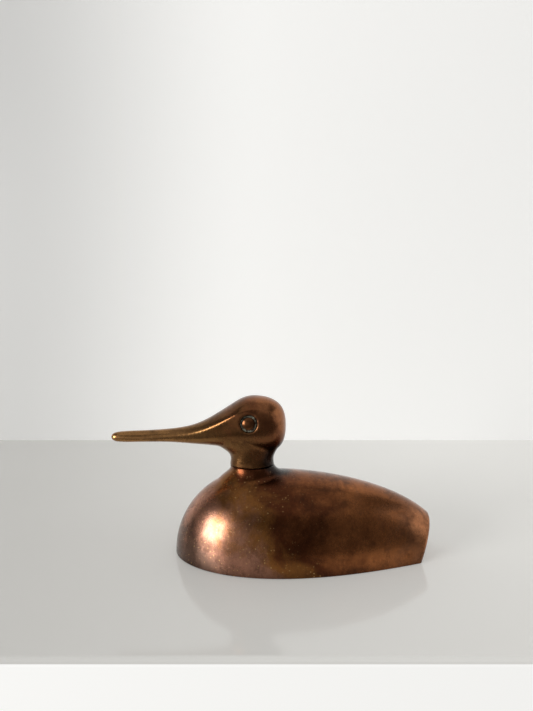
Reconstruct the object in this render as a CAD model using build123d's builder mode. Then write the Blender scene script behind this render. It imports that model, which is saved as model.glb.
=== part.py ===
from build123d import *

import os
from math import acos, atan2, cos, degrees, radians, sin

# A cast brass duck ornament with a long bill, resting on a flat base.
#
# The duck is a hollow body casting with a raised neck collar, and a solid head casting whose
# spigot drops into that collar. A stud, washers and a nut inside the body pull the head down.
# Domed eye pins sit in round recesses in the cheeks. A sheet plate, three screws and a felt
# pad close the underside.
#
# The frame is in millimetres: +Z up, the tail towards +X, the bill towards -X, and the origin
# on the surface below the middle of the duck's length.

# ---- Body casting: driving dimensions -------------------------------------------------------
BODY_LENGTH = 127.6  # breast to the top of the tail
BODY_HEIGHT = 41.4  # rim to the crest of the back
BODY_WIDTH = 61.0  # across the widest part
WALL = 3.0
CREST_BEHIND = 41.6  # the highest point, behind the breast
WIDEST_BEHIND = 52.0  # the widest point, behind the breast
BACK_RUN_OUT = 10.5  # from the tail on to where the back's line would reach the surface
FLANK_RUN_OUT = 34.2  # from the tail on to where the flanks' lines would meet
BREAST_ROUND = 2.04  # exponent of the breast's side view: 2 is an ellipse
BACK_ROUND = 2.15  # exponent of the back's side view behind the crest
BOW_ROUND = 0.57  # exponent of the breast's plan view: 0.5 is an ellipse
BODY_STATIONS = 15  # sections that the body is lofted through
LOFT_OVERRUN = 6.0  # how far the loft goes on before the tail's end cuts it
TAIL_LEAN = 20.0  # degrees that the tail's end leans out over its foot
TAIL_EDGE = 2.0  # rounding between the tail's end and the flanks
TAIL_CORNER = 0.4  # how far the sharp corner would stand out behind that rounding
RIM_LIFT = 0.3  # height of the casting's rim above the surface

# ---- Neck: the collar on the body, the head's own neck and the joint between them ----------
NECK_BEHIND = 38.6  # axis of the neck, behind the breast
COLLAR_HEIGHT = 2.8  # crest of the back to the joint
NECK_HALF_LENGTH = 11.1
NECK_HALF_WIDTH = 9.0
SEAM_BEVEL = 0.3  # bevel of both castings at the joint, which leaves a fine groove
COLLAR_BLEND = 5.0  # rounding where the collar leaves the back
NECK_BLEND = 5.0  # rounding where the neck leaves the head

# Rings round the collar: depth below the joint, shift towards the breast, half length and
# half width added to the joint's own.
COLLAR_RINGS = [(7.5, 1.2, 4.7, 3.4), (3.7, -0.25, 1.95, 1.4)]

# Rings round the foot of the collar, which end inside the body: the same, but the last is how
# far a ring lies inside the body's side.
COLLAR_FOOT_RINGS = [(16.0, 2.5, 5.5, 1.5), (11.5, 1.5, 4.5, 1.0)]

# Rings round the head's neck: share of the way up from the joint to the bill's level, then
# as for the collar.
NECK_RINGS = [
    (0.22, 0.0, -0.4, -0.4),
    (0.43, 0.1, 0.5, -0.3),
    (0.6, 1.0, 2.6, -0.1),
    (0.81, 3.0, 4.1, 0.6),
    (1.0, 4.0, 4.6, 0.9),
]

SPIGOT_RADIUS = 6.0
SPIGOT_LENGTH = 4.6
SPIGOT_CLEARANCE = 0.05
SOCKET_FLOOR_GAP = 0.4

# ---- Head casting ---------------------------------------------------------------------------
BILL_REACH = 70.4  # neck axis to the bill's tip
BILL_LEVEL = 14.25  # neck joint up to the bill's tip: the head's heights are from this level
HEAD_BACK_REACH = 16.9  # neck axis to the back of the head
HEAD_BACK_HEIGHT = 5.75
HEAD_STATIONS = 24  # steps between the sections that the head is lofted through
HEAD_END_TURN = 1.5  # degrees of the half turn left as a tiny flat at both ends
CREASE_LEAST_TURN = 2.0  # degrees that a section's outline turns at the crease, or more

# The head's sections follow four lines. Each point is a share of the way from the bill's tip
# to the back of the head, then a height above the bill's level.

# The line over the top of the bill and the head.
TOP_LINE = [
    (0.016, 1.8),
    (0.074, 2.65),
    (0.228, 3.25),
    (0.368, 4.25),
    (0.483, 6.4),
    (0.599, 11.4),
    (0.714, 17.7),
    (0.772, 20.2),
    (0.828, 20.65),
    (0.886, 20.05),
    (0.932, 18.5),
    (0.967, 16.1),
    (0.992, 11.9),
]

# The line under the bill, the chin and the head.
UNDER_LINE = [
    (0.016, -2.15),
    (0.074, -2.8),
    (0.228, -2.65),
    (0.368, -2.85),
    (0.483, -3.6),
    (0.599, -4.45),
    (0.689, -5.8),
    (0.827, -7.75),
    (0.932, -6.7),
    (0.971, -4.3),
    (0.993, -0.1),
]

# The crease along the bill and up to the brow: share, half width and height.
CREASE_LINE = [
    (0.016, 2.1, 0.2),
    (0.086, 2.9, 0.1),
    (0.23, 3.2, 0.1),
    (0.346, 3.9, 0.85),
    (0.462, 5.4, 2.1),
    (0.577, 7.6, 5.9),
    (0.691, 10.1, 11.5),
    (0.758, 10.6, 14.4),
    (0.827, 9.9, 15.6),
    (0.891, 8.7, 15.5),
    (0.942, 7.1, 14.2),
    (0.977, 4.7, 12.0),
    (0.992, 2.8, 9.9),
]

# The widest line of the bill and the cheek, the same way.
FLANK_LINE = [
    (0.016, 2.2, -0.35),
    (0.074, 3.0, -0.65),
    (0.228, 3.3, -0.6),
    (0.368, 4.0, -0.2),
    (0.483, 5.6, 0.4),
    (0.599, 8.0, 2.1),
    (0.714, 10.8, 4.5),
    (0.827, 12.0, 6.15),
    (0.908, 11.1, 6.15),
    (0.971, 7.2, 5.85),
]

# ---- Eyes: domed pins in round recesses -----------------------------------------------------
EYE_ALONG = -1.4  # from the neck axis
EYE_HEIGHT = 8.75  # above the bill's level
EYE_OUT = 11.7  # half width of the cheek at the eye
EYE_TILT = 9.0  # degrees that the recess faces upwards
EYE_RECESS_RADIUS = 4.2
EYE_RECESS_DEPTH = 2.2
EYE_LIP = 0.3  # rounding of the recess's mouth
PUPIL_RADIUS = 2.9
PUPIL_SIDE = 0.9
PUPIL_DOME = 0.8
EYE_SHANK_RADIUS = 1.5
EYE_SHANK_LENGTH = 5.0
EYE_SHANK_CLEARANCE = 0.03
EYE_SHANK_TIP_GAP = 0.4

# ---- Fastening of the head ------------------------------------------------------------------
STUD_RADIUS = 3.0
STUD_GRIP = 14.5  # how far the stud goes up into the head
STUD_OVERRUN = 0.8  # thread that shows below the nut
STUD_TIP_GAP = 1.0
STUD_BEVEL = 0.6
STUD_HOLE_CLEARANCE = 0.3
THREAD_CLEARANCE = 0.03
BOSS_RADIUS = 9.0
BOSS_LENGTH = 11.5  # joint to the foot of the boss inside the body
WASHER_RADIUS = 6.0
WASHER_THICKNESS = 1.6
WASHER_CLEARANCE = 0.2
SPRING_WASHER_RADIUS = 5.4
SPRING_WASHER_THICKNESS = 1.5
SPRING_WASHER_SPLIT = 0.8
NUT_ACROSS_FLATS = 10.0
NUT_THICKNESS = 5.0

# ---- Closing of the underside ---------------------------------------------------------------
FELT_THICKNESS = 1.2
FELT_INSET = 0.5  # how far the felt stays inside the plate's edge
PLATE_THICKNESS = 1.5
PLATE_CLEARANCE = 0.15
LEDGE = 1.3  # width of the ledge inside the rim that the plate bears on
SCREW_RADIUS = 1.5
SCREW_LENGTH = 8.0
SCREW_HEAD_RADIUS = 2.75
PLATE_BEHIND_HEAD = 0.25  # plate left round the shank above a screw's countersunk head
SCREW_CLEARANCE = 0.2
SCREW_TIP_GAP = 0.8
SCREW_SLOT_WIDTH = 0.8
SCREW_SLOT_DEPTH = 0.6
LUG_RADIUS = 4.5
LUG_BITE = 1.2  # how far a lug runs into the wall beside it
LUG_CROWN = 1.5  # metal left above a screw's hole
REAR_LUGS_BEHIND = 86.6

# ---- Drawing aids ---------------------------------------------------------------------------
CUT_OVERRUN = 3.0  # how far a cut goes on past the face that it opens
SLOPE_STEP = 0.01  # distance that the slope of the foot line is measured over

# ---- Places worked out from the dimensions --------------------------------------------------
HEAD_LENGTH = BILL_REACH + HEAD_BACK_REACH
OVERALL_LENGTH = BILL_REACH - NECK_BEHIND + BODY_LENGTH
NECK_X = BILL_REACH - OVERALL_LENGTH / 2
BREAST_X = NECK_X - NECK_BEHIND
SEAM_Z = RIM_LIFT + BODY_HEIGHT + COLLAR_HEIGHT
BILL_Z = SEAM_Z + BILL_LEVEL
BOSS_FOOT_Z = SEAM_Z - BOSS_LENGTH
SPRING_WASHER_Z = BOSS_FOOT_Z - WASHER_THICKNESS - SPRING_WASHER_THICKNESS
NUT_Z = SPRING_WASHER_Z - NUT_THICKNESS
STUD_FOOT_Z = NUT_Z - STUD_OVERRUN
STUD_TOP_Z = SEAM_Z + STUD_GRIP
PLATE_TOP_Z = FELT_THICKNESS + PLATE_THICKNESS
SCREW_TIP_Z = FELT_THICKNESS + SCREW_LENGTH
SCREW_HOLE_TOP_Z = SCREW_TIP_Z + SCREW_TIP_GAP
SCREW_HEAD_HEIGHT = PLATE_THICKNESS - PLATE_BEHIND_HEAD
SCREW_HEAD_ANGLE = 2 * degrees(atan2(SCREW_HEAD_RADIUS - SCREW_RADIUS, SCREW_HEAD_HEIGHT))


# ---- Shape of the body ----------------------------------------------------------------------
def back_height(behind):
    """Height of the body above its rim, at a distance behind the breast."""
    if behind < CREST_BEHIND:
        fall = (CREST_BEHIND - behind) / CREST_BEHIND
        return BODY_HEIGHT * (1 - fall**BREAST_ROUND) ** (1 / BREAST_ROUND)
    fall = (behind - CREST_BEHIND) / (BODY_LENGTH + BACK_RUN_OUT - CREST_BEHIND)
    return BODY_HEIGHT * (1 - fall**BACK_ROUND) ** (1 / 2)


def flank_half_width(behind):
    """Half the width of the body at its rim, at a distance behind the breast."""
    meeting = BODY_LENGTH + FLANK_RUN_OUT
    narrowing = (meeting - behind) / (meeting - WIDEST_BEHIND)
    taper = BOW_ROUND * (meeting - WIDEST_BEHIND) / WIDEST_BEHIND
    return BODY_WIDTH / 2 * (behind / WIDEST_BEHIND) ** BOW_ROUND * narrowing**taper


def flank_point(behind, inset):
    """A point on the body's foot line, moved in square to it: distance behind and half width."""
    half_width = flank_half_width(behind)
    slope = atan2(flank_half_width(behind + SLOPE_STEP) - half_width, SLOPE_STEP)
    return behind + inset * sin(slope), half_width - inset * cos(slope)


def body_sections(inset):
    """Half-round sections from breast to tail, each moved in from the surface by inset."""
    sections = []
    for station in range(1, BODY_STATIONS + 1):
        behind = (BODY_LENGTH + LOFT_OVERRUN) * (station / BODY_STATIONS) ** 2
        inner_behind, half_width = flank_point(behind, inset)
        height = back_height(behind) - (flank_half_width(behind) - half_width)
        origin = (BREAST_X + inner_behind, 0, RIM_LIFT)
        with BuildSketch(Plane(origin=origin, x_dir=(0, 1, 0), z_dir=(1, 0, 0))) as section:
            with BuildLine():
                arch = EllipticalCenterArc((0, 0), half_width, height, 0, arc_size=180)
                Line(arch @ 1, arch @ 0)
            make_face()
        sections.append(section.sketch)
    return sections


def tail_plane(inset):
    """The plane of the tail's end, facing backwards and down, moved in by inset."""
    tail_top = RIM_LIFT + back_height(BODY_LENGTH)
    facing = (cos(radians(TAIL_LEAN)), 0, -sin(radians(TAIL_LEAN)))
    corner_x = BREAST_X + BODY_LENGTH + TAIL_CORNER
    return Plane(origin=(corner_x, 0, tail_top), z_dir=facing).offset(-inset)


def base_outline(inset, height):
    """The outline of the body's foot, moved in by inset, as a sketch at a height."""
    side = []
    for station in range(1, BODY_STATIONS + 1):
        behind, half_width = flank_point(BODY_LENGTH * (station / BODY_STATIONS) ** 2, inset)
        side.append((BREAST_X + behind, half_width))
    other_side = [(x, -y) for x, y in reversed(side)]
    foot = tail_plane(inset).intersect(Axis((0, 0, RIM_LIFT), (1, 0, 0)))
    with BuildSketch(Plane.XY.offset(height)) as outline:
        with BuildLine():
            flanks = Spline(*other_side, (BREAST_X + inset, 0), *side)
            Line(flanks @ 1, flanks @ 0)
        make_face()
        with Locations((foot.X, 0)):
            behind_tail = (Align.MIN, Align.CENTER)
            Rectangle(BODY_LENGTH, BODY_WIDTH, align=behind_tail, mode=Mode.SUBTRACT)
    return outline.sketch


def body_half_width(behind, height):
    """Half the width of the body at a height above its rim, at a distance behind the breast."""
    return flank_half_width(behind) * (1 - (height / back_height(behind)) ** 2) ** (1 / 2)


def neck_ring(height, shift, added_length, added_width):
    """A level ring round the neck, at a height above the joint and shifted to the breast."""
    with BuildSketch(Plane.XY.offset(SEAM_Z + height)) as ring:
        with Locations((NECK_X - shift, 0)):
            Ellipse(NECK_HALF_LENGTH + added_length, NECK_HALF_WIDTH + added_width)
    return ring.sketch


def collar_foot_ring(depth, shift, added_length, sink):
    """A level ring at a depth below the joint whose sides lie inside the body by sink."""
    height = BODY_HEIGHT + COLLAR_HEIGHT - depth
    half_width = body_half_width(NECK_BEHIND - shift, height) - sink
    return neck_ring(-depth, shift, added_length, half_width - NECK_HALF_WIDTH)


def screw_places():
    """Centres of the three base screws: one behind the breast and a pair near the tail."""
    front = BREAST_X + WALL + LUG_RADIUS - LUG_BITE
    rear_x = BREAST_X + REAR_LUGS_BEHIND
    rear_y = flank_half_width(REAR_LUGS_BEHIND) - WALL - LUG_RADIUS + LUG_BITE
    return [(front, 0), (rear_x, rear_y), (rear_x, -rear_y)]


# ---- Shape of the head ----------------------------------------------------------------------
def unit(angle):
    """A unit vector at an angle in degrees."""
    return (cos(radians(angle)), sin(radians(angle)))


def guide_line(points):
    """A smooth line through points from the bill's tip to the head's back, along a half turn."""
    inner = [(degrees(acos(1 - 2 * share)), y, z) for share, y, z in points]
    return Spline((0, 0, 0), *inner, (180, 0, HEAD_BACK_HEIGHT))


def crossing(guide, turn):
    """The half width and height of a guide line at one place on the half turn."""
    point = guide.intersect(Plane.YZ.offset(turn))[0]
    return (point.Y, point.Z)


def crease_directions(top, crease, flank):
    """The outline's directions just before and just after the crease, in degrees."""
    crown_chord = degrees(atan2(crease[1] - top[1], crease[0]))
    cheek_chord = degrees(atan2(flank[1] - crease[1], flank[0] - crease[0]))
    before = 2 * crown_chord
    after = 2 * cheek_chord + 90
    middle = (before + after) / 2
    half_turn = max(before - after, CREASE_LEAST_TURN) / 2
    return middle + half_turn, middle - half_turn


def head_section(share, top, under, crease, flank):
    """One closed section: the crown, the cheek below each crease, and a round underside."""
    before, after = [unit(angle) for angle in crease_directions(top, crease, flank)]
    section_x = NECK_X - BILL_REACH + share * HEAD_LENGTH
    section_plane = Plane(origin=(section_x, 0, BILL_Z), x_dir=(0, 1, 0), z_dir=(1, 0, 0))
    with BuildLine() as outline:
        far_crease = (-crease[0], crease[1])
        Spline(far_crease, top, crease, tangents=[(before[0], -before[1]), (1, 0), before])
        Spline(crease, flank, tangents=[after, (0, -1)])
        EllipticalCenterArc((0, flank[1]), flank[0], flank[1] - under[1], 180, arc_size=180)
        Spline((-flank[0], flank[1]), far_crease, tangents=[(0, 1), (after[0], -after[1])])
    return section_plane.from_local_coords(Face(Wire(outline.edges())))


def head_sections():
    """Sections from the bill's tip to the back of the head, closer together at both ends."""
    guides = [
        guide_line([(share, 0, height) for share, height in TOP_LINE]),
        guide_line([(share, 0, height) for share, height in UNDER_LINE]),
        guide_line(CREASE_LINE),
        guide_line(FLANK_LINE),
    ]
    sections = []
    for station in range(HEAD_STATIONS + 1):
        turn = HEAD_END_TURN + (180 - 2 * HEAD_END_TURN) * station / HEAD_STATIONS
        share = (1 - cos(radians(turn))) / 2
        sections.append(head_section(share, *[crossing(guide, turn) for guide in guides]))
    return sections


# ---- Shape of the eyes ----------------------------------------------------------------------
def eye_floor(side):
    """The plane of a recess's floor, facing out: side is -1 for the duck's left, 1 for right."""
    facing = Vector(0, side * cos(radians(EYE_TILT)), sin(radians(EYE_TILT)))
    cheek = Vector(NECK_X + EYE_ALONG, side * EYE_OUT, BILL_Z + EYE_HEIGHT)
    return Plane(origin=cheek - facing * EYE_RECESS_DEPTH, x_dir=(1, 0, 0), z_dir=facing)


def eye_pin(side):
    """A domed pin whose head stands on the recess's floor and whose shank goes into the head."""
    floor = eye_floor(side)
    half_section = Plane(origin=floor.origin, x_dir=(1, 0, 0), z_dir=-floor.y_dir)
    with BuildPart() as pin:
        with BuildSketch(half_section):
            with BuildLine():
                crown = (0, PUPIL_SIDE + PUPIL_DOME)
                dome = TangentArc(crown, (PUPIL_RADIUS, PUPIL_SIDE), tangent=(1, 0))
                Polyline(
                    dome @ 1,
                    (PUPIL_RADIUS, 0),
                    (EYE_SHANK_RADIUS, 0),
                    (EYE_SHANK_RADIUS, -EYE_SHANK_LENGTH),
                    (0, -EYE_SHANK_LENGTH),
                    crown,
                )
            make_face()
        revolve(axis=Axis(floor.origin, floor.z_dir))
    return pin


# ---- Body casting ---------------------------------------------------------------------------
with BuildPart() as cavity:
    loft([Vertex(BREAST_X + WALL, 0, RIM_LIFT), *body_sections(WALL)])
    split(bisect_by=tail_plane(WALL), keep=Keep.BOTTOM)
    with BuildSketch(Plane.XY.offset(BOSS_FOOT_Z)):
        with Locations((NECK_X, 0)):
            Circle(BOSS_RADIUS)
    extrude(amount=BOSS_LENGTH, mode=Mode.SUBTRACT)
    with BuildSketch(Plane.XY):
        with Locations(*screw_places()):
            Circle(LUG_RADIUS)
    extrude(amount=SCREW_HOLE_TOP_Z + LUG_CROWN, mode=Mode.SUBTRACT)

with BuildPart() as body_casting:
    loft([Vertex(BREAST_X, 0, RIM_LIFT), *body_sections(0)])
    split(bisect_by=tail_plane(0), keep=Keep.BOTTOM)
    tail_end = body_casting.faces().sort_by(Axis.X)[-1]
    fillet(tail_end.edges().sort_by(Axis.Z)[1:], TAIL_EDGE)
    # The collar, blended into the back and bevelled at the joint.
    foot = [collar_foot_ring(*ring) for ring in COLLAR_FOOT_RINGS]
    collar = [neck_ring(-depth, *shape) for depth, *shape in COLLAR_RINGS]
    loft([*foot, *collar, neck_ring(0, 0, 0, 0)])
    fillet(body_casting.edges(Select.NEW), COLLAR_BLEND)
    chamfer(body_casting.edges().sort_by(Axis.Z)[-1], SEAM_BEVEL)
    # The hollow, and the ledge inside the rim for the base plate.
    add(cavity.part, mode=Mode.SUBTRACT)
    add(base_outline(WALL - LEDGE, RIM_LIFT))
    extrude(amount=PLATE_TOP_Z - RIM_LIFT, mode=Mode.SUBTRACT)
    # The socket for the head's spigot, and the stud's hole down through the boss.
    with Locations((NECK_X, 0, SEAM_Z)):
        CounterBoreHole(
            radius=STUD_RADIUS + STUD_HOLE_CLEARANCE,
            counter_bore_radius=SPIGOT_RADIUS + SPIGOT_CLEARANCE,
            counter_bore_depth=SPIGOT_LENGTH + SOCKET_FLOOR_GAP,
            depth=BOSS_LENGTH + CUT_OVERRUN,
        )
    # Tapped holes up into the lugs.
    with BuildSketch(Plane.XY.offset(PLATE_TOP_Z)):
        with Locations(*screw_places()):
            Circle(SCREW_RADIUS + THREAD_CLEARANCE)
    extrude(amount=SCREW_HOLE_TOP_Z - PLATE_TOP_Z, mode=Mode.SUBTRACT)
body_casting.part.label = "body_casting"

# ---- Head casting ---------------------------------------------------------------------------
with BuildPart() as head_casting:
    loft(head_sections())
    neck = [neck_ring(share * BILL_LEVEL, *shape) for share, *shape in NECK_RINGS]
    loft([neck_ring(0, 0, 0, 0), *neck])
    fillet(head_casting.edges(Select.NEW), NECK_BLEND)
    chamfer(head_casting.edges().sort_by(Axis.Z)[0], SEAM_BEVEL)
    # The spigot below the joint, and the tapped hole for the stud up through it.
    with BuildSketch(Plane.XY.offset(SEAM_Z - SPIGOT_LENGTH)):
        with Locations((NECK_X, 0)):
            Circle(SPIGOT_RADIUS)
    extrude(amount=SPIGOT_LENGTH)
    with BuildSketch(Plane.XY.offset(SEAM_Z - SPIGOT_LENGTH)):
        with Locations((NECK_X, 0)):
            Circle(STUD_RADIUS + THREAD_CLEARANCE)
    extrude(amount=SPIGOT_LENGTH + STUD_GRIP + STUD_TIP_GAP, mode=Mode.SUBTRACT)
    # The eyes' recesses, each with a hole for the pin's shank.
    for side in (-1, 1):
        with BuildSketch(eye_floor(side)):
            Circle(EYE_RECESS_RADIUS)
        extrude(amount=EYE_RECESS_DEPTH + CUT_OVERRUN, mode=Mode.SUBTRACT)
        recess_wall = head_casting.faces(Select.LAST).filter_by(GeomType.CYLINDER)
        fillet(recess_wall.edges().filter_by(GeomType.BSPLINE), EYE_LIP)
        with BuildSketch(eye_floor(side)):
            Circle(EYE_SHANK_RADIUS + EYE_SHANK_CLEARANCE)
        extrude(amount=-(EYE_SHANK_LENGTH + EYE_SHANK_TIP_GAP), mode=Mode.SUBTRACT)
head_casting.part.label = "head_casting"

# ---- Eyes -----------------------------------------------------------------------------------
left_eye = eye_pin(-1)
left_eye.part.label = "left_eye"
right_eye = eye_pin(1)
right_eye.part.label = "right_eye"

# ---- Stud, washers and nut ------------------------------------------------------------------
with BuildPart() as neck_stud:
    with BuildSketch(Plane.XY.offset(STUD_FOOT_Z)):
        with Locations((NECK_X, 0)):
            Circle(STUD_RADIUS)
    extrude(amount=STUD_TOP_Z - STUD_FOOT_Z)
    chamfer(neck_stud.edges().filter_by(GeomType.CIRCLE), STUD_BEVEL)
neck_stud.part.label = "neck_stud"

with BuildPart() as neck_washer:
    with BuildSketch(Plane.XY.offset(BOSS_FOOT_Z - WASHER_THICKNESS)):
        with Locations((NECK_X, 0)):
            Circle(WASHER_RADIUS)
            Circle(STUD_RADIUS + WASHER_CLEARANCE, mode=Mode.SUBTRACT)
    extrude(amount=WASHER_THICKNESS)
neck_washer.part.label = "neck_washer"

with BuildPart() as spring_washer:
    with BuildSketch(Plane.XY.offset(SPRING_WASHER_Z)):
        with Locations((NECK_X, 0)):
            Circle(SPRING_WASHER_RADIUS)
            Circle(STUD_RADIUS + WASHER_CLEARANCE, mode=Mode.SUBTRACT)
        with Locations((NECK_X + SPRING_WASHER_RADIUS, 0)):
            Rectangle(2 * SPRING_WASHER_RADIUS, SPRING_WASHER_SPLIT, mode=Mode.SUBTRACT)
    extrude(amount=SPRING_WASHER_THICKNESS)
spring_washer.part.label = "spring_washer"

with BuildPart() as neck_nut:
    with BuildSketch(Plane.XY.offset(NUT_Z)):
        with Locations((NECK_X, 0)):
            RegularPolygon(NUT_ACROSS_FLATS / 2, 6, major_radius=False)
            Circle(STUD_RADIUS + THREAD_CLEARANCE, mode=Mode.SUBTRACT)
    extrude(amount=NUT_THICKNESS)
neck_nut.part.label = "neck_nut"

# ---- Base plate, screws and felt ------------------------------------------------------------
with BuildPart() as base_plate:
    add(base_outline(WALL - LEDGE + PLATE_CLEARANCE, FELT_THICKNESS))
    extrude(amount=PLATE_THICKNESS)
    plate_under = Plane(origin=(0, 0, FELT_THICKNESS), x_dir=(1, 0, 0), z_dir=(0, 0, -1))
    with Locations(plate_under):
        with Locations(*[(x, -y) for x, y in screw_places()]):
            CounterSinkHole(
                radius=SCREW_RADIUS + SCREW_CLEARANCE,
                counter_sink_radius=SCREW_HEAD_RADIUS + SCREW_CLEARANCE,
                counter_sink_angle=SCREW_HEAD_ANGLE,
                depth=PLATE_THICKNESS,
            )
base_plate.part.label = "base_plate"

with BuildPart() as base_screws:
    with BuildSketch(Plane.XY.offset(FELT_THICKNESS)):
        with Locations(*screw_places()):
            Circle(SCREW_RADIUS)
    extrude(amount=SCREW_LENGTH)
    for x, y in screw_places():
        with Locations((x, y, FELT_THICKNESS)):
            Cone(
                SCREW_HEAD_RADIUS,
                SCREW_RADIUS,
                SCREW_HEAD_HEIGHT,
                align=(Align.CENTER, Align.CENTER, Align.MIN),
            )
    with BuildSketch(Plane.XY.offset(FELT_THICKNESS)):
        with Locations(*screw_places()):
            Rectangle(2 * (SCREW_HEAD_RADIUS + CUT_OVERRUN), SCREW_SLOT_WIDTH)
    extrude(amount=SCREW_SLOT_DEPTH, mode=Mode.SUBTRACT)
base_screws.part.label = "base_screws"

with BuildPart() as base_felt:
    add(base_outline(WALL - LEDGE + PLATE_CLEARANCE + FELT_INSET, 0))
    extrude(amount=FELT_THICKNESS)
base_felt.part.label = "base_felt"

# ---- Files ----------------------------------------------------------------------------------
os.makedirs("parts", exist_ok=True)
for piece in (
    body_casting,
    head_casting,
    left_eye,
    right_eye,
    neck_stud,
    neck_washer,
    spring_washer,
    neck_nut,
    base_plate,
    base_screws,
    base_felt,
):
    export_step(piece.part, f"parts/{piece.part.label}.step")
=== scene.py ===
import math

import bmesh
import bpy
from bpy.props import FloatProperty, FloatVectorProperty, IntProperty, PointerProperty
from mathutils import Euler, Matrix, Vector


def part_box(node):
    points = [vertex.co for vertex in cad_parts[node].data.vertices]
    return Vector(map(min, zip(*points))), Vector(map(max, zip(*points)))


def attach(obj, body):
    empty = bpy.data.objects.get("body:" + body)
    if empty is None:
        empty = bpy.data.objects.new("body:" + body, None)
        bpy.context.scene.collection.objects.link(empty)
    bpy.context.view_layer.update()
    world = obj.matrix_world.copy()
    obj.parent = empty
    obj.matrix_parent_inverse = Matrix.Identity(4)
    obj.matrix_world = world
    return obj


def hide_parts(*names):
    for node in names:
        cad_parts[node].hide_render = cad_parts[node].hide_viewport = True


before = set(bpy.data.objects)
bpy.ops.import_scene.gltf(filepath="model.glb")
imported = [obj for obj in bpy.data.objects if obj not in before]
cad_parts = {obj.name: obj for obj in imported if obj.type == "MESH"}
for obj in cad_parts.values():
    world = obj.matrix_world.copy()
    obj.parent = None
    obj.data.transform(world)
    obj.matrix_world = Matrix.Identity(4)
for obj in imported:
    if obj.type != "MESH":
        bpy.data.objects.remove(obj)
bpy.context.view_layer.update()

bl_info = {
    "name": "Brass duck ornament",
    "version": (1, 0, 0),
    "blender": (4, 5, 0),
    "location": "3D View > Sidebar > Duck",
    "description": "Finishes, small details and a plain studio for a cast brass duck",
    "category": "Object",
}

MM = 0.001

# The back of the neck at the joint, in metres: the middle of the shade painted under the head.
NECK_BACK = (2 * MM, 0.0, 48 * MM)

# How far apart the corners of a CAD mesh may lie and still be one point.
SAME_POINT = 0.0001 * MM

# The board's thickness and the rounding of its front edges, in metres.
SHELF_THICKNESS = 0.03
SHELF_ROUNDING = 2.5 * MM

# Where the paint's extra brightness, a painted light, starts and is full, in metres along X. Short
# of its start the paint is left darker, as painted shade.
SHELF_LIT = (-0.35, 0.2)
EDGE_LIT = (-3.0, -2.0)
WALL_LIT = (-0.26, 0.0)

# Each lamp's name, place and size, in metres. Its power is among the stage's settings.
LAMPS = (
    ("window", (-1.69, -1.05, 0.46), (0.95, 0.9)),
    ("ceiling", (0.0, -0.45, 1.2), (1.6, 1.2)),
    ("side", (1.15, -0.12, 0.42), (0.9, 0.8)),
    ("front", (-0.45, -1.5, 0.2), (1.0, 0.9)),
)

# The camera: its place in metres, its tilt from straight down, its sensor's longer side in
# millimetres, and its focal length as a share of that side.
CAMERA_PLACE = (-0.0021, -0.2627, 0.1223)
CAMERA_TILT = math.radians(85)
SENSOR = 36.0
FOCAL_SHARE = 534 / 711


# ---- Colours, nodes and pieces ----------------------------------------------------------------
def linear(hex_colour):
    """An sRGB hex colour as a linear RGBA tuple."""
    channels = [int(hex_colour[place : place + 2], 16) / 255 for place in (1, 3, 5)]
    return (*[c / 12.92 if c <= 0.04045 else ((c + 0.055) / 1.055) ** 2.4 for c in channels], 1.0)


def colour_property(name, description, hex_colour):
    """A colour that a user can change, from its sRGB hex value."""
    return FloatVectorProperty(
        name=name, description=description, subtype="COLOR", size=4, min=0.0, max=1.0,
        default=linear(hex_colour),
    )


def length_property(name, description, metres):
    """A length that a user can change, in metres."""
    return FloatProperty(name=name, description=description, default=metres, unit="LENGTH",
                         precision=5)


def add_node(tree, kind, inputs=None, **settings):
    """Adds a node with its settings; inputs are values, or sockets to link from."""
    node = tree.nodes.new(kind)
    for name, value in settings.items():
        setattr(node, name, value)
    for socket, source in (inputs or {}).items():
        if isinstance(source, bpy.types.NodeSocket):
            tree.links.new(source, node.inputs[socket])
        else:
            node.inputs[socket].default_value = source
    return node


def new_material(name):
    """An empty node material, its tree and its output node."""
    material = bpy.data.materials.new(name)
    material.use_nodes = True
    material.node_tree.nodes.clear()
    output = add_node(material.node_tree, "ShaderNodeOutputMaterial")
    return material, material.node_tree, output


def per(size):
    """The scale of a texture whose pattern repeats about once in a size in metres."""
    return 1.0 / size


def dress(piece, material):
    """Gives a piece one material."""
    piece.data.materials.clear()
    piece.data.materials.append(material)


def link_mesh(context, mesh, name):
    """A mesh as an object in the scene."""
    piece = bpy.data.objects.new(name, mesh)
    context.scene.collection.objects.link(piece)
    return piece


def link_bmesh(context, bm, name):
    """A bmesh as an object in the scene."""
    mesh = bpy.data.meshes.new(name)
    bm.to_mesh(mesh)
    bm.free()
    return link_mesh(context, mesh, name)


def merged_copy(node):
    """A CAD node's mesh as a bmesh whose triangles are joined."""
    bm = bmesh.new()
    bm.from_mesh(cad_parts[node].data)
    bmesh.ops.remove_doubles(bm, verts=bm.verts, dist=SAME_POINT)
    return bm


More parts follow.
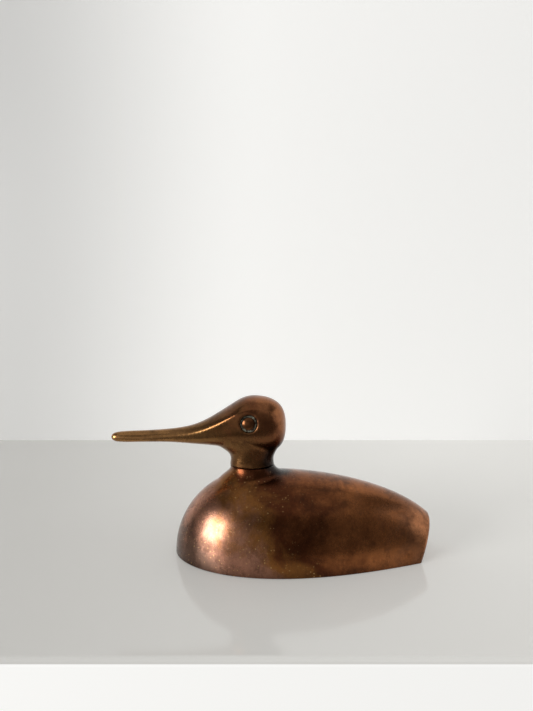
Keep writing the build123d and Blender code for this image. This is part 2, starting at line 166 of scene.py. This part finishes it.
# ---- Settings ---------------------------------------------------------------------------------
class DuckFinishSettings(bpy.types.PropertyGroup):
    """Colours of the finishes."""

    breast: colour_property("Breast", "Purple brown at the front of the breast", "#6E5142")
    shoulder: colour_property("Shoulder", "Copper pink where the breast turns", "#A0705A")
    front: colour_property("Front", "Olive brown under the neck", "#845426")
    flank: colour_property("Flank", "Dark brown at the middle of the body", "#55290E")
    back: colour_property("Back", "Red brown towards the tail", "#9A5E34")
    haunch: colour_property("Haunch", "Brown low down beside the tail", "#825233")
    tail: colour_property("Tail", "Worn copper red at the tail", "#A26A45")
    bill: colour_property("Bill", "Gold of the bill", "#A17547")
    beak_root: colour_property("Beak root", "Gold brown where the bill widens", "#8A6339")
    cheek: colour_property("Cheek", "Golden brown of the cheek", "#714B28")
    crown: colour_property("Crown", "Red brown of the crown", "#7A492A")
    nape: colour_property("Nape", "Copper brown at the back of the head", "#915C38")
    tarnish: colour_property("Tarnish", "Thick dark patina", "#381E0E")
    speck: colour_property("Specks", "Small bare spots", "#C9A26C")
    residue: colour_property("Residue", "Dried polish in the eye's recess", "#A4A692")
    felt: colour_property("Felt", "The pad under the base", "#1E3326")
    steel: colour_property("Steel", "Stud, washers and nut", "#B9BABB")
    sheet_brass: colour_property("Sheet brass", "Base plate and screws", "#C39B52")


class DuckShapeSettings(bpy.types.PropertyGroup):
    """Sizes of the softened head and the small details."""

    head_grain: length_property("Head grain", "Spacing of the softened head's points", 0.4 * MM)
    head_passes: IntProperty(
        name="Head passes", description="How often the head is softened", default=14, min=0
    )
    eye_along: length_property("Eye along", "Eye's centre along the duck", -10.7 * MM)
    eye_out: length_property("Eye out", "Recess's floor from the middle plane", 9.527 * MM)
    eye_height: length_property("Eye height", "Recess's floor above the surface", 67.156 * MM)
    eye_tilt: FloatProperty(
        name="Eye tilt", description="How far the eye faces up", default=math.radians(9),
        subtype="ANGLE",
    )
    residue_inner: length_property("Residue inside", "Inner radius of the dried polish", 3.0 * MM)
    residue_outer: length_property("Residue outside", "Outer radius of the dried polish", 4.15 * MM)
    residue_height: length_property("Residue height", "Thickness of the dried polish", 0.45 * MM)
    felt_edge: length_property("Felt edge", "Rounding of the felt's cut edge", 0.3 * MM)


class DuckStageSettings(bpy.types.PropertyGroup):
    """Sizes and colours of the studio."""

    shelf: colour_property("Shelf", "Glossy painted shelf", "#D9D8D4")
    wall: colour_property("Wall", "Painted wall behind the shelf", "#E8E8E6")
    room: colour_property("Room", "Light from the room all round", "#6C6A68")
    wall_behind: length_property("Wall behind", "Duck's middle to the wall", 0.228)
    shelf_front: length_property("Shelf front", "Duck's middle to the shelf's edge", 0.086)
    shelf_width: length_property("Shelf width", "Width of the shelf and the wall", 1.8)
    shelf_glow: FloatProperty(
        name="Shelf glow", description="Brightness added for the camera and gloss", default=0.38
    )
    edge_glow: FloatProperty(
        name="Edge glow", description="Brightness added for the camera and gloss", default=0.6
    )
    wall_glow: FloatProperty(
        name="Wall glow", description="Brightness added for the camera and gloss", default=0.48
    )
    window_power: FloatProperty(
        name="Window power", description="Power of the window light, in watts", default=28.0
    )
    ceiling_power: FloatProperty(
        name="Ceiling power", description="Power of the light overhead, in watts", default=2.4
    )
    side_power: FloatProperty(
        name="Side power", description="Power of the light at the tail's side, in watts",
        default=1.8,
    )
    front_power: FloatProperty(
        name="Front power", description="Power of the light behind the camera, in watts",
        default=0.8,
    )


# ---- Finishes ---------------------------------------------------------------------------------
def aged_brass(name, bands, box, finish, specks):
    """Sand-cast brass, polished once, then darkened by age and waxed hands.

    It gives the eye a satin metal whose colour drifts along the casting from gold to copper
    red, in soft clouds. Patches of tarnish are darker. Corners and the back of the neck are
    darkened with painted shade, which in the corners also stands for the patina in the hollows.
    There are pale specks at the front, fine rubbing marks and slightly uneven gloss. Bands are
    places, 0 to 1, with their colours: most of a place is along the box, and a fifth is up it.
    Specks is how strongly the specks show.
    """
    low, high = box
    material, tree, output = new_material(name)
    place = add_node(tree, "ShaderNodeTexCoord").outputs["Object"]
    clouds = add_node(
        tree, "ShaderNodeTexNoise",
        {"Vector": place, "Scale": per(22 * MM), "Detail": 6.0, "Roughness": 0.62,
         "Distortion": 0.4},
    ).outputs["Fac"]
    blotches = add_node(
        tree, "ShaderNodeTexNoise",
        {"Vector": place, "Scale": per(7 * MM), "Detail": 8.0, "Roughness": 0.68},
    ).outputs["Fac"]
    grime = add_node(
        tree, "ShaderNodeTexNoise",
        {"Vector": place, "Scale": per(1.2 * MM), "Detail": 4.0, "Roughness": 0.65},
    ).outputs["Fac"]
    # Rubbing marks run up and down the casting: long in Z, fine across.
    rub_place = add_node(
        tree, "ShaderNodeMapping", {"Vector": place, "Scale": (1.0, 1.0, 0.1)}
    ).outputs["Vector"]
    rubbing = add_node(
        tree, "ShaderNodeTexNoise",
        {"Vector": rub_place, "Scale": per(0.8 * MM), "Detail": 3.0, "Roughness": 0.6},
    ).outputs["Fac"]

    # Colour: bands along the casting with ragged borders.
    sides = add_node(tree, "ShaderNodeSeparateXYZ", {"Vector": place}).outputs
    along = add_node(
        tree, "ShaderNodeMapRange",
        {"Value": sides["X"], "From Min": low[0], "From Max": high[0], "To Max": 0.8},
    ).outputs["Result"]
    up = add_node(
        tree, "ShaderNodeMapRange",
        {"Value": sides["Z"], "From Min": low[2], "From Max": high[2], "To Max": 0.2},
    ).outputs["Result"]
    drift = add_node(
        tree, "ShaderNodeMapRange",
        {"Value": clouds, "From Min": 0.3, "From Max": 0.7, "To Min": -0.12, "To Max": 0.12},
    ).outputs["Result"]
    ragged = along
    for more in (up, drift):
        ragged = add_node(
            tree, "ShaderNodeMath", {0: ragged, 1: more}, operation="ADD"
        ).outputs[0]
    ramp = add_node(tree, "ShaderNodeValToRGB", {"Fac": ragged})
    ramp.color_ramp.interpolation = "EASE"
    stops = ramp.color_ramp.elements
    stops[0].position, stops[0].color = bands[0]
    stops[1].position, stops[1].color = bands[-1]
    for position, colour in bands[1:-1]:
        stops.new(position).color = colour
    # Patches of thick tarnish, and grime in the grain of the casting.
    patch = add_node(
        tree, "ShaderNodeMapRange",
        {"Value": blotches, "From Min": 0.5, "From Max": 0.7, "To Max": 0.6},
    ).outputs["Result"]
    patched = add_node(
        tree, "ShaderNodeMix",
        {0: patch, 6: ramp.outputs["Color"], 7: tuple(finish.tarnish)},
        data_type="RGBA",
    ).outputs[2]
    cloud_shade = add_node(
        tree, "ShaderNodeMapRange",
        {"Value": clouds, "From Min": 0.35, "From Max": 0.65, "To Min": 0.8, "To Max": 1.12},
    ).outputs["Result"]
    grime_shade = add_node(
        tree, "ShaderNodeMapRange",
        {"Value": grime, "From Min": 0.3, "From Max": 0.7, "To Min": 0.82, "To Max": 1.12},
    ).outputs["Result"]
    rub_shade = add_node(
        tree, "ShaderNodeMapRange",
        {"Value": rubbing, "From Min": 0.3, "From Max": 0.7, "To Min": 0.9, "To Max": 1.1},
    ).outputs["Result"]
    # Occlusion darkens the colour in corners, where head and body meet and near the shelf: painted
    # shade, which also stands for the darker patina in the hollows.
    corner = add_node(
        tree, "ShaderNodeAmbientOcclusion", {"Distance": 7 * MM}, samples=8
    ).outputs["AO"]
    painted_shade_and_hollow_patina = add_node(
        tree, "ShaderNodeMapRange",
        {"Value": corner, "From Min": 0.3, "From Max": 0.9, "To Min": 0.3, "To Max": 1.0},
    ).outputs["Result"]
    # Painted shade under the head, darkest at the back of the neck.
    behind_neck = add_node(
        tree, "ShaderNodeVectorMath", {0: place, 1: NECK_BACK}, operation="DISTANCE"
    ).outputs["Value"]
    painted_neck_shade = add_node(
        tree, "ShaderNodeMapRange",
        {"Value": behind_neck, "From Min": 8 * MM, "From Max": 13 * MM, "To Min": 0.1,
         "To Max": 1.0},
        interpolation_type="SMOOTHSTEP",
    ).outputs["Result"]
    # Random tone and rubbing, times the painted shade of the corners and behind the neck.
    shade = cloud_shade
    for more in (grime_shade, rub_shade, painted_shade_and_hollow_patina, painted_neck_shade):
        shade = add_node(
            tree, "ShaderNodeMath", {0: shade, 1: more}, operation="MULTIPLY"
        ).outputs[0]
    patina_and_painted_shade = add_node(
        tree, "ShaderNodeVectorMath", {0: patched, 1: shade}, operation="MULTIPLY"
    ).outputs[0]

    # Specks: bare spots up to 0.7 mm across, in most of the cells, and only from the breast to
    # the middle.
    cells = add_node(tree, "ShaderNodeTexVoronoi", {"Vector": place, "Scale": per(1.4 * MM)})
    luck = add_node(
        tree, "ShaderNodeSeparateXYZ", {"Vector": cells.outputs["Color"]}
    ).outputs["X"]
    spot_size = add_node(
        tree, "ShaderNodeMapRange",
        {"Value": luck, "From Min": 0.3, "From Max": 1.0, "To Max": 0.26},
    ).outputs["Result"]
    spot = add_node(
        tree, "ShaderNodeMath", {0: cells.outputs["Distance"], 1: spot_size},
        operation="LESS_THAN",
    ).outputs[0]
    spotted_part = add_node(
        tree, "ShaderNodeMapRange",
        {"Value": ragged, "From Min": 0.35, "From Max": 0.62, "To Min": specks,
         "To Max": 0.0},
        interpolation_type="SMOOTHSTEP",
    ).outputs["Result"]
    spot_amount = add_node(
        tree, "ShaderNodeMath", {0: spot, 1: spotted_part}, operation="MULTIPLY"
    ).outputs[0]
    colour = add_node(
        tree, "ShaderNodeMix", {0: spot_amount, 6: patina_and_painted_shade, 7: tuple(finish.speck)},
        data_type="RGBA",
    ).outputs[2]

    # Gloss and relief. A thin film of wax whitens the highlights.
    gloss = add_node(
        tree, "ShaderNodeMapRange",
        {"Value": blotches, "From Min": 0.3, "From Max": 0.7, "To Min": 0.2, "To Max": 0.33},
    ).outputs["Result"]
    height = add_node(
        tree, "ShaderNodeMath", {0: rubbing, 1: grime}, operation="ADD"
    ).outputs[0]
    ripple = add_node(
        tree, "ShaderNodeBump", {"Height": height, "Strength": 0.4, "Distance": 0.035 * MM}
    ).outputs["Normal"]
    shader = add_node(
        tree, "ShaderNodeBsdfPrincipled",
        {"Base Color": colour, "Metallic": 1.0, "Roughness": gloss, "Normal": ripple,
         "Coat Weight": 0.2, "Coat Roughness": 0.25},
    )
    tree.links.new(shader.outputs[0], output.inputs["Surface"])
    return material


def dried_polish(name, colour, dark):
    """Metal polish dried in a corner: a chalky grey-green crust, broken by dark tarnish."""
    material, tree, output = new_material(name)
    place = add_node(tree, "ShaderNodeTexCoord").outputs["Object"]
    crust = add_node(
        tree, "ShaderNodeTexNoise",
        {"Vector": place, "Scale": per(1.1 * MM), "Detail": 5.0, "Roughness": 0.7},
    ).outputs["Fac"]
    amount = add_node(
        tree, "ShaderNodeMapRange", {"Value": crust, "From Min": 0.44, "From Max": 0.56}
    ).outputs["Result"]
    colour_mix = add_node(
        tree, "ShaderNodeMix", {0: amount, 6: colour, 7: dark}, data_type="RGBA"
    ).outputs[2]
    relief = add_node(
        tree, "ShaderNodeBump", {"Height": crust, "Strength": 0.6, "Distance": 0.15 * MM}
    ).outputs["Normal"]
    shader = add_node(
        tree, "ShaderNodeBsdfPrincipled",
        {"Base Color": colour_mix, "Roughness": 0.75, "Normal": relief},
    )
    tree.links.new(shader.outputs[0], output.inputs["Surface"])
    return material


def plain_metal(name, colour, roughness):
    """Rolled or turned metal with a fine even grain."""
    material, tree, output = new_material(name)
    place = add_node(tree, "ShaderNodeTexCoord").outputs["Object"]
    grain = add_node(
        tree, "ShaderNodeTexNoise", {"Vector": place, "Scale": per(0.6 * MM), "Detail": 3.0}
    ).outputs["Fac"]
    gloss = add_node(
        tree, "ShaderNodeMapRange",
        {"Value": grain, "To Min": roughness - 0.08, "To Max": roughness + 0.08},
    ).outputs["Result"]
    shader = add_node(
        tree, "ShaderNodeBsdfPrincipled",
        {"Base Color": colour, "Metallic": 1.0, "Roughness": gloss},
    )
    tree.links.new(shader.outputs[0], output.inputs["Surface"])
    return material


def pressed_felt(name, colour):
    """Pressed wool felt: matt, with short crossing fibres that catch a little light."""
    material, tree, output = new_material(name)
    place = add_node(tree, "ShaderNodeTexCoord").outputs["Object"]
    fibres = add_node(
        tree, "ShaderNodeTexNoise",
        {"Vector": place, "Scale": per(0.5 * MM), "Detail": 6.0, "Roughness": 0.8,
         "Distortion": 2.0},
    ).outputs["Fac"]
    shade = add_node(
        tree, "ShaderNodeMapRange", {"Value": fibres, "To Min": 0.5, "To Max": 1.5}
    ).outputs["Result"]
    fibre_colour = add_node(
        tree, "ShaderNodeVectorMath", {0: colour[:3], 1: shade}, operation="MULTIPLY"
    ).outputs[0]
    relief = add_node(
        tree, "ShaderNodeBump", {"Height": fibres, "Strength": 0.5, "Distance": 0.2 * MM}
    ).outputs["Normal"]
    shader = add_node(
        tree, "ShaderNodeBsdfPrincipled",
        {"Base Color": fibre_colour, "Roughness": 0.95, "Sheen Weight": 0.4, "Normal": relief},
    )
    tree.links.new(shader.outputs[0], output.inputs["Surface"])
    return material


def pale_paint(name, colour, roughness, glow, shaded_side, lit_side):
    """Smooth pale gloss paint, a little brighter for the camera and in reflections.

    The extra brightness is painted light. It falls to nothing towards the shaded side, which is
    given along X as the lit side is, and so paints shade on that side.
    """
    material, tree, output = new_material(name)
    place = add_node(tree, "ShaderNodeTexCoord").outputs["Object"]
    along = add_node(tree, "ShaderNodeSeparateXYZ", {"Vector": place}).outputs["X"]
    strength = add_node(
        tree, "ShaderNodeMapRange",
        {"Value": along, "From Min": shaded_side, "From Max": lit_side, "To Max": glow},
        interpolation_type="SMOOTHSTEP",
    ).outputs["Result"]
    path = add_node(tree, "ShaderNodeLightPath")
    seen = path.outputs["Is Camera Ray"]
    for ray in ("Is Glossy Ray", "Is Transmission Ray"):
        seen = add_node(
            tree, "ShaderNodeMath", {0: seen, 1: path.outputs[ray]}, operation="MAXIMUM"
        ).outputs[0]
    strength = add_node(
        tree, "ShaderNodeMath", {0: seen, 1: strength}, operation="MULTIPLY"
    ).outputs[0]
    shader = add_node(
        tree, "ShaderNodeBsdfPrincipled",
        {"Base Color": colour, "Roughness": roughness, "Emission Color": colour,
         "Emission Strength": strength},
    )
    tree.links.new(shader.outputs[0], output.inputs["Surface"])
    return material


# ---- Operators --------------------------------------------------------------------------------
class DUCK_OT_stage(bpy.types.Operator):
    """Makes the shelf, the wall, the lamps and the camera"""

    bl_idname = "duck.stage"
    bl_label = "Stage"

    def execute(self, context):
        stage = context.scene.duck_stage
        self.shelf(context, stage)
        self.wall(context, stage)
        world = bpy.data.worlds.new("room")
        world.use_nodes = True
        world.node_tree.nodes["Background"].inputs["Color"].default_value = tuple(stage.room)
        context.scene.world = world
        for name, place, size in LAMPS:
            self.lamp(context, name, place, size, getattr(stage, name + "_power"))

        camera_data = bpy.data.cameras.new("camera")
        camera_data.sensor_width = SENSOR
        camera_data.lens = SENSOR * FOCAL_SHARE
        camera = bpy.data.objects.new("camera", camera_data)
        camera.location = CAMERA_PLACE
        camera.rotation_euler = Euler((CAMERA_TILT, 0, 0))
        context.scene.collection.objects.link(camera)
        context.scene.camera = camera
        context.scene.view_settings.view_transform = "Standard"
        return {"FINISHED"}

    def shelf(self, context, stage):
        """A painted board whose front edges are rounded."""
        depth = stage.wall_behind + stage.shelf_front
        middle = (stage.wall_behind - stage.shelf_front) / 2
        bm = bmesh.new()
        bmesh.ops.create_cube(bm, size=1.0)
        bmesh.ops.scale(bm, vec=(stage.shelf_width, depth, SHELF_THICKNESS), verts=bm.verts)
        bmesh.ops.translate(bm, vec=(0, middle, -SHELF_THICKNESS / 2), verts=bm.verts)
        front = [e for e in bm.edges if all(v.co.y < middle for v in e.verts)]
        bmesh.ops.bevel(
            bm, geom=front, offset=SHELF_ROUNDING, segments=5, affect="EDGES", profile=0.5,
            material=-1,
        )
        shelf = link_bmesh(context, bm, "shelf")
        dress(
            shelf,
            pale_paint(
                "gloss painted board", tuple(stage.shelf), 0.1, stage.shelf_glow, *SHELF_LIT
            ),
        )
        shelf.data.materials.append(
            pale_paint("gloss painted edge", tuple(stage.wall), 0.2, stage.edge_glow, *EDGE_LIT)
        )
        for face in shelf.data.polygons:
            face.material_index = int(face.normal.y < -0.9)

    def wall(self, context, stage):
        """The wall that the shelf is fixed to."""
        half = stage.shelf_width / 2
        bm = bmesh.new()
        bmesh.ops.create_grid(bm, x_segments=1, y_segments=1, size=half)
        upright = Matrix.Rotation(math.pi / 2, 3, "X")
        bmesh.ops.rotate(bm, cent=(0, 0, 0), matrix=upright, verts=bm.verts)
        bmesh.ops.translate(bm, vec=(0, stage.wall_behind, half - SHELF_THICKNESS), verts=bm.verts)
        wall = link_bmesh(context, bm, "wall")
        dress(
            wall,
            pale_paint(
                "satin painted wall", tuple(stage.wall), 0.35, stage.wall_glow, *WALL_LIT
            ),
        )

    def lamp(self, context, name, place, size, power):
        """A rectangular lamp that faces the duck."""
        light = bpy.data.lights.new(name, "AREA")
        light.shape = "RECTANGLE"
        light.size, light.size_y = size
        light.energy = power
        lamp = bpy.data.objects.new(name, light)
        lamp.location = place
        towards = Vector((0, 0, 0.03)) - Vector(place)
        lamp.rotation_euler = towards.to_track_quat("-Z", "Y").to_euler()
        context.scene.collection.objects.link(lamp)


class DUCK_OT_body(bpy.types.Operator):
    """Finishes the body casting"""

    bl_idname = "duck.body"
    bl_label = "Body"

    def execute(self, context):
        finish = context.scene.duck_finish
        bands = [
            (0.06, tuple(finish.breast)), (0.22, tuple(finish.shoulder)),
            (0.36, tuple(finish.front)), (0.47, tuple(finish.flank)),
            (0.7, tuple(finish.back)), (0.81, tuple(finish.haunch)),
            (0.89, tuple(finish.tail)),
        ]
        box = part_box("body_casting")
        brass = aged_brass("aged cast brass, red", bands, box, finish, 0.55)
        dress(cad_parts["body_casting"], brass)
        return {"FINISHED"}


class DUCK_OT_head(bpy.types.Operator):
    """Softens the head casting's edges and finishes it and the eye pins"""

    bl_idname = "duck.head"
    bl_label = "Head"

    def execute(self, context):
        finish = context.scene.duck_finish
        bands = [
            (0.1, tuple(finish.bill)), (0.4, tuple(finish.bill)),
            (0.55, tuple(finish.beak_root)), (0.7, tuple(finish.cheek)),
            (0.84, tuple(finish.crown)), (0.95, tuple(finish.nape)),
        ]
        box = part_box("head_casting")
        brass = aged_brass("aged cast brass, gold", bands, box, finish, 0.0)
        head = self.softened(context, "head_casting", "head_skin")
        dress(head, brass)
        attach(head, "root")
        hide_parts("head_casting")
        for node in ("left_eye", "right_eye"):
            dress(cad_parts[node], brass)
        return {"FINISHED"}

    def softened(self, context, node, name):
        """A copy of a casting on an even mesh, with its edges eased as by polishing."""
        shape = context.scene.duck_shape
        rough = link_bmesh(context, merged_copy(node), name + "_rough")
        remesh = rough.modifiers.new("even", "REMESH")
        remesh.mode = "VOXEL"
        remesh.voxel_size = shape.head_grain
        remesh.use_smooth_shade = True
        ease = rough.modifiers.new("ease", "SMOOTH")
        ease.factor = 0.5
        ease.iterations = shape.head_passes
        graph = context.evaluated_depsgraph_get()
        mesh = bpy.data.meshes.new_from_object(rough.evaluated_get(graph))
        bpy.data.objects.remove(rough)
        mesh.name = name
        mesh.polygons.foreach_set("use_smooth", [True] * len(mesh.polygons))
        return link_mesh(context, mesh, name)


class DUCK_OT_residue(bpy.types.Operator):
    """Makes the rings of dried polish in the eyes' recesses"""

    bl_idname = "duck.residue"
    bl_label = "Eye residue"

    def execute(self, context):
        finish = context.scene.duck_finish
        material = dried_polish(
            "dried metal polish", tuple(finish.residue), tuple(finish.tarnish)
        )
        for side, name in ((-1, "left_eye_residue"), (1, "right_eye_residue")):
            ring = self.ring(context, side, name)
            dress(ring, material)
            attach(ring, "root")
        return {"FINISHED"}

    def ring(self, context, side, name):
        """A low ring on a recess's floor, thickest against the recess's wall."""
        shape = context.scene.duck_shape
        width = shape.residue_outer - shape.residue_inner
        profile = [(0.0, -0.1), (0.15, 0.35), (0.6, 0.45), (0.9, 1.0), (1.0, -0.1)]
        bm = bmesh.new()
        points = [
            bm.verts.new((shape.residue_inner + across * width, 0, up * shape.residue_height))
            for across, up in profile
        ]
        loop = [bm.edges.new(pair) for pair in zip(points, points[1:] + points[:1])]
        bmesh.ops.spin(
            bm, geom=points + loop, cent=(0, 0, 0), axis=(0, 0, 1), angle=2 * math.pi,
            steps=72, use_merge=True,
        )
        bmesh.ops.recalc_face_normals(bm, faces=bm.faces)
        facing = Matrix.Rotation(-side * (math.pi / 2 - shape.eye_tilt), 4, "X")
        centre = Vector((shape.eye_along, side * shape.eye_out, shape.eye_height))
        bmesh.ops.transform(bm, matrix=Matrix.Translation(centre) @ facing, verts=bm.verts)
        for face in bm.faces:
            face.smooth = True
        return link_bmesh(context, bm, name)


class DUCK_OT_fastening(bpy.types.Operator):
    """Finishes the stud, washers, nut, base plate and screws"""

    bl_idname = "duck.fastening"
    bl_label = "Fastening"

    def execute(self, context):
        finish = context.scene.duck_finish
        steel = plain_metal("zinc plated steel", tuple(finish.steel), 0.42)
        sheet = plain_metal("rolled sheet brass", tuple(finish.sheet_brass), 0.35)
        for node in ("neck_stud", "neck_washer", "spring_washer", "neck_nut"):
            dress(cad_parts[node], steel)
        for node in ("base_plate", "base_screws"):
            dress(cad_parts[node], sheet)
        return {"FINISHED"}


class DUCK_OT_felt(bpy.types.Operator):
    """Makes the felt pad under the base"""

    bl_idname = "duck.felt"
    bl_label = "Felt"

    def execute(self, context):
        shape = context.scene.duck_shape
        bm = merged_copy("base_felt")
        flat_area = sum(f.calc_area() for f in bm.faces if f.normal.z < -0.5)
        bmesh.ops.dissolve_limit(
            bm, angle_limit=math.radians(1), verts=bm.verts, edges=bm.edges
        )
        rim = [
            e for e in bm.edges
            if len(e.link_faces) == 2 and e.calc_face_angle(0) > math.radians(60)
            and abs(e.verts[0].co.z - e.verts[1].co.z) < 0.1 * MM
        ]
        bmesh.ops.bevel(
            bm, geom=rim, offset=shape.felt_edge, segments=3, affect="EDGES", profile=0.5,
            material=-1,
        )
        bmesh.ops.triangulate(bm, faces=bm.faces)
        for face in bm.faces:
            face.smooth = True
        felt = link_bmesh(context, bm, "felt_pad")
        dress(felt, pressed_felt("pressed wool felt", tuple(context.scene.duck_finish.felt)))
        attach(felt, "root")
        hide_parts("base_felt")
        return {"FINISHED"}


class DUCK_PT_panel(bpy.types.Panel):
    """Lists the duck's operators and settings"""

    bl_idname = "DUCK_PT_panel"
    bl_label = "Brass duck"
    bl_space_type = "VIEW_3D"
    bl_region_type = "UI"
    bl_category = "Duck"

    def draw(self, context):
        for operator in OPERATORS:
            self.layout.operator(operator.bl_idname)
        for group in (
            context.scene.duck_finish, context.scene.duck_shape, context.scene.duck_stage
        ):
            box = self.layout.box()
            for name in group.__annotations__:
                box.prop(group, name)


OPERATORS = (
    DUCK_OT_stage, DUCK_OT_body, DUCK_OT_head, DUCK_OT_residue, DUCK_OT_fastening, DUCK_OT_felt
)
GROUPS = (DuckFinishSettings, DuckShapeSettings, DuckStageSettings)


def register():
    """Registers the classes and the settings."""
    for each in (*GROUPS, *OPERATORS, DUCK_PT_panel):
        bpy.utils.register_class(each)
    bpy.types.Scene.duck_finish = PointerProperty(type=DuckFinishSettings)
    bpy.types.Scene.duck_shape = PointerProperty(type=DuckShapeSettings)
    bpy.types.Scene.duck_stage = PointerProperty(type=DuckStageSettings)


def unregister():
    """Takes the settings and the classes away."""
    del bpy.types.Scene.duck_stage
    del bpy.types.Scene.duck_shape
    del bpy.types.Scene.duck_finish
    for each in reversed((*GROUPS, *OPERATORS, DUCK_PT_panel)):
        bpy.utils.unregister_class(each)


def main():
    """Builds everything in order."""
    register()
    bpy.ops.duck.stage()
    bpy.ops.duck.body()
    bpy.ops.duck.head()
    bpy.ops.duck.residue()
    bpy.ops.duck.fastening()
    bpy.ops.duck.felt()


if __name__ == "__main__":
    main()
